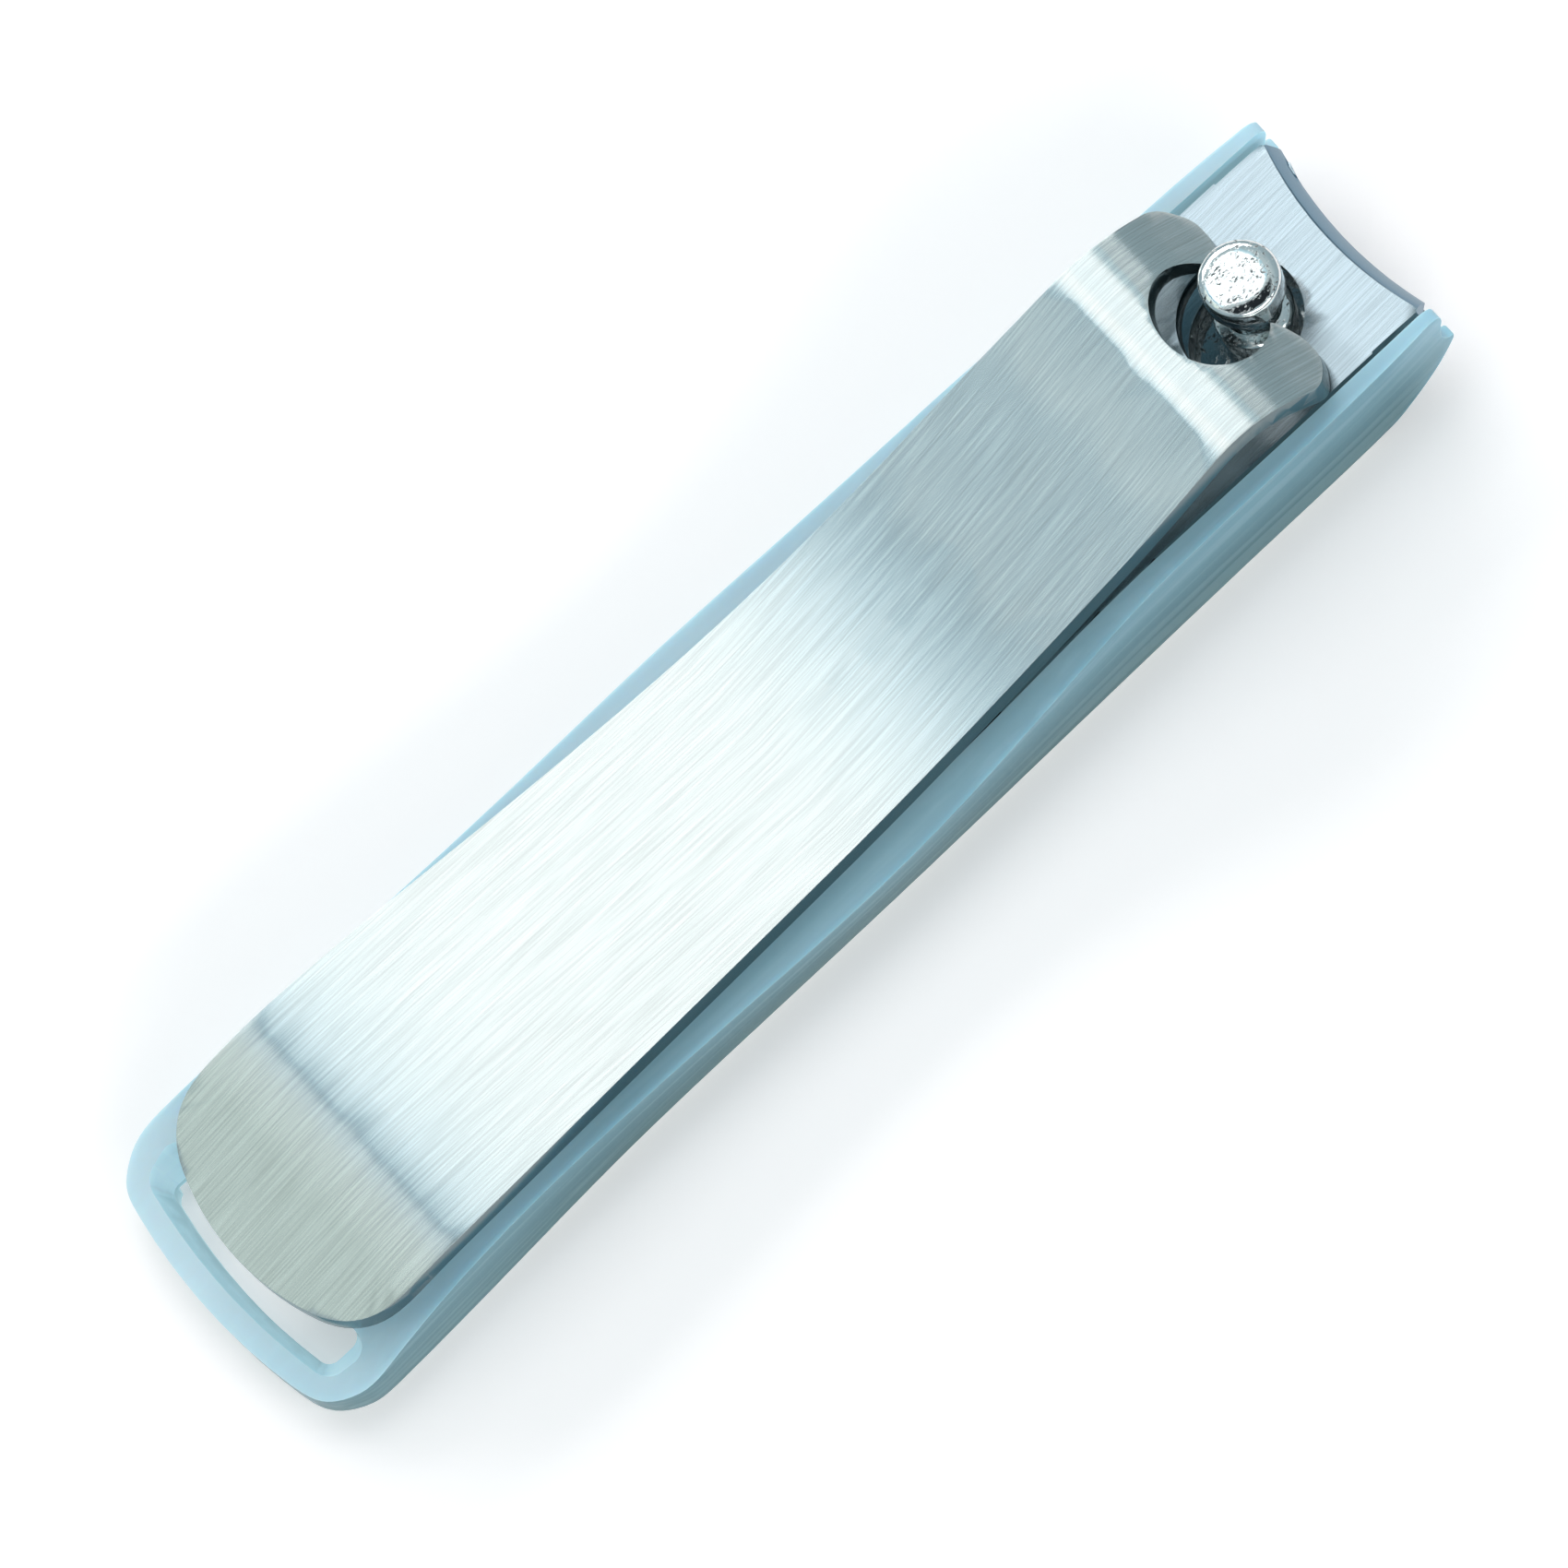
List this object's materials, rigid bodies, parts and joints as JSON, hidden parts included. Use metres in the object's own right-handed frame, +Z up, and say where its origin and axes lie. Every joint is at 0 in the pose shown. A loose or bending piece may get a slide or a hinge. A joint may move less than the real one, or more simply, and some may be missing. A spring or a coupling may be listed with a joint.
{
  "type": "nail clipper",
  "caption": "Large steel nail clipper with a fold-over lever on a swivelling post, in a translucent blue plastic catcher with a lanyard slot.",
  "frame": {"origin": "on the surface that the clipper lies on, under the middle of its length and width", "axes": "+X towards the cutting edges, +Y to the clipper's left, +Z up, away from the surface it lies on"},
  "size_m": [0.0819, 0.0192, 0.0111],
  "materials": {
    "catcher_plastic": "translucent light blue, moulded, smooth with fine scuffs",
    "lever_steel": "lengthwise satin brushing",
    "blade_steel": "satin brushing with ground cutting edges",
    "post_chrome": "polished, worn on top of the head"
  },
  "bodies": {
    "base": {"catcher": "catcher_plastic", "lower_blade": "blade_steel"},
    "jaw": {"upper_blade": "blade_steel", "tail_rivet": "post_chrome"},
    "post": {"post": "post_chrome"},
    "lever": {"lever": "lever_steel"}
  },
  "joints": [
    {"name": "jaw_close", "type": "hinge", "parent": "base", "child": "jaw", "pos_m": [-0.024, 0, 0.0022], "axis": [0, 1, 0], "range_deg": [0, 1.75], "stiffness_Nm_per_rad": 6},
    {"name": "post_swivel", "type": "hinge", "parent": "base", "child": "post", "pos_m": [0.03365, 0, 0.00155], "axis": [0, 0, 1], "continuous": true},
    {"name": "lever_flip", "type": "hinge", "parent": "post", "child": "lever", "pos_m": [0.03431, 0, 0.00785], "axis": [0, 1, 0], "range_deg": [0, 152]}
  ]
}
